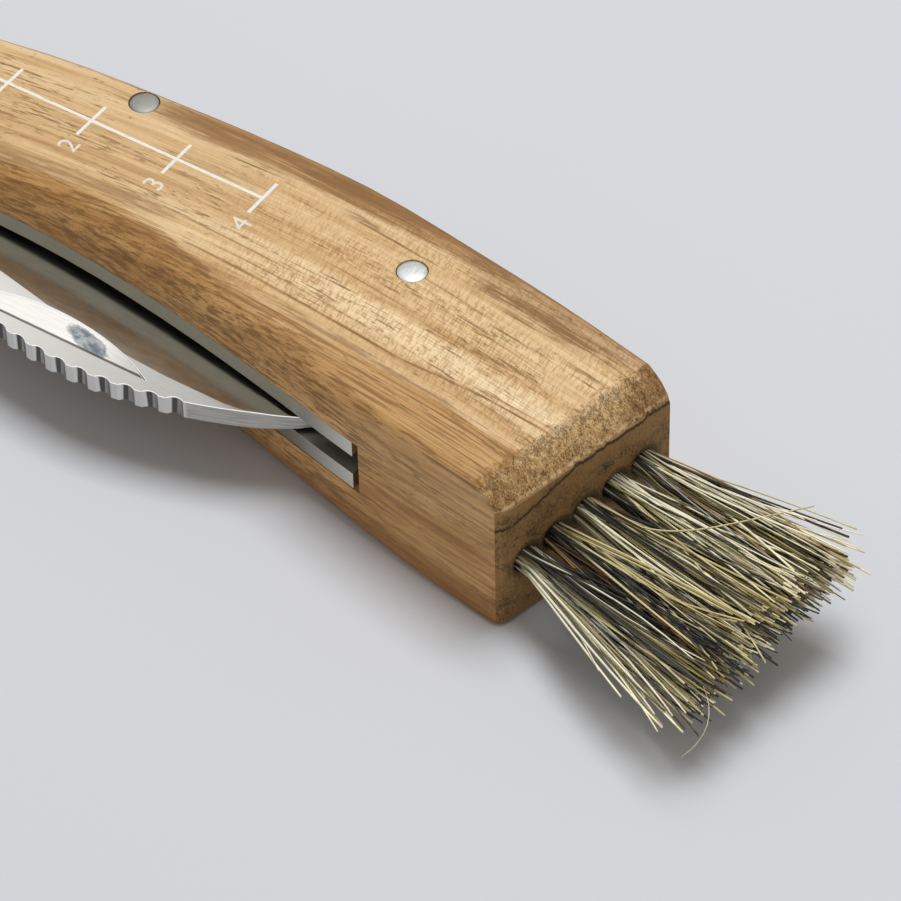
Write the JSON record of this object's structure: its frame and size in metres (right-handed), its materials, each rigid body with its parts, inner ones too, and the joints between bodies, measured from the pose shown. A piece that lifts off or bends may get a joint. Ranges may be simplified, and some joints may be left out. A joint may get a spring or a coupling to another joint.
{
  "type": "folding mushroom knife",
  "caption": "Folding knife with a curved wooden handle, a sickle blade with a scalloped spine and a nail nick, held by a backspring, and a row of bristle tufts at the handle's end.",
  "frame": {"origin": "on the handle's flat lower face, straight below the last mark of the measuring scale on its upper face", "axes": "+X along the handle from the blade's pivot towards the brush, +Y from the blade's slot towards the handle's back, +Z out of the face with the scale"},
  "size_m": [0.1267, 0.0338, 0.0176],
  "materials": {
    "wood": "oiled, open-grained hardwood",
    "liner_steel": "ground",
    "blade_steel": "ground and lightly polished",
    "pin_steel": "satin",
    "bristle": "mixed dark and straw-coloured natural bristle",
    "brass": "drawn wire"
  },
  "bodies": {
    "handle": {"handle_block": "wood", "liner_upper": "liner_steel", "liner_lower": "liner_steel", "backspring": "liner_steel", "pivot_pin": "pin_steel", "spring_pin": "pin_steel", "end_pin": "pin_steel", "bristle_tuft_1": "bristle", "bristle_tuft_2": "bristle", "bristle_tuft_3": "bristle", "bristle_tuft_4": "bristle", "bristle_tuft_5": "bristle", "tuft_anchor_1": "brass", "tuft_anchor_2": "brass", "tuft_anchor_3": "brass", "tuft_anchor_4": "brass", "tuft_anchor_5": "brass"},
    "blade": {"blade": "blade_steel"}
  },
  "joints": [
    {"name": "blade_fold", "type": "hinge", "parent": "handle", "child": "blade", "pos_m": [-0.0519, -0.00621, 0.00875], "axis": [0, 0, -1], "range_deg": [0, 180]}
  ]
}
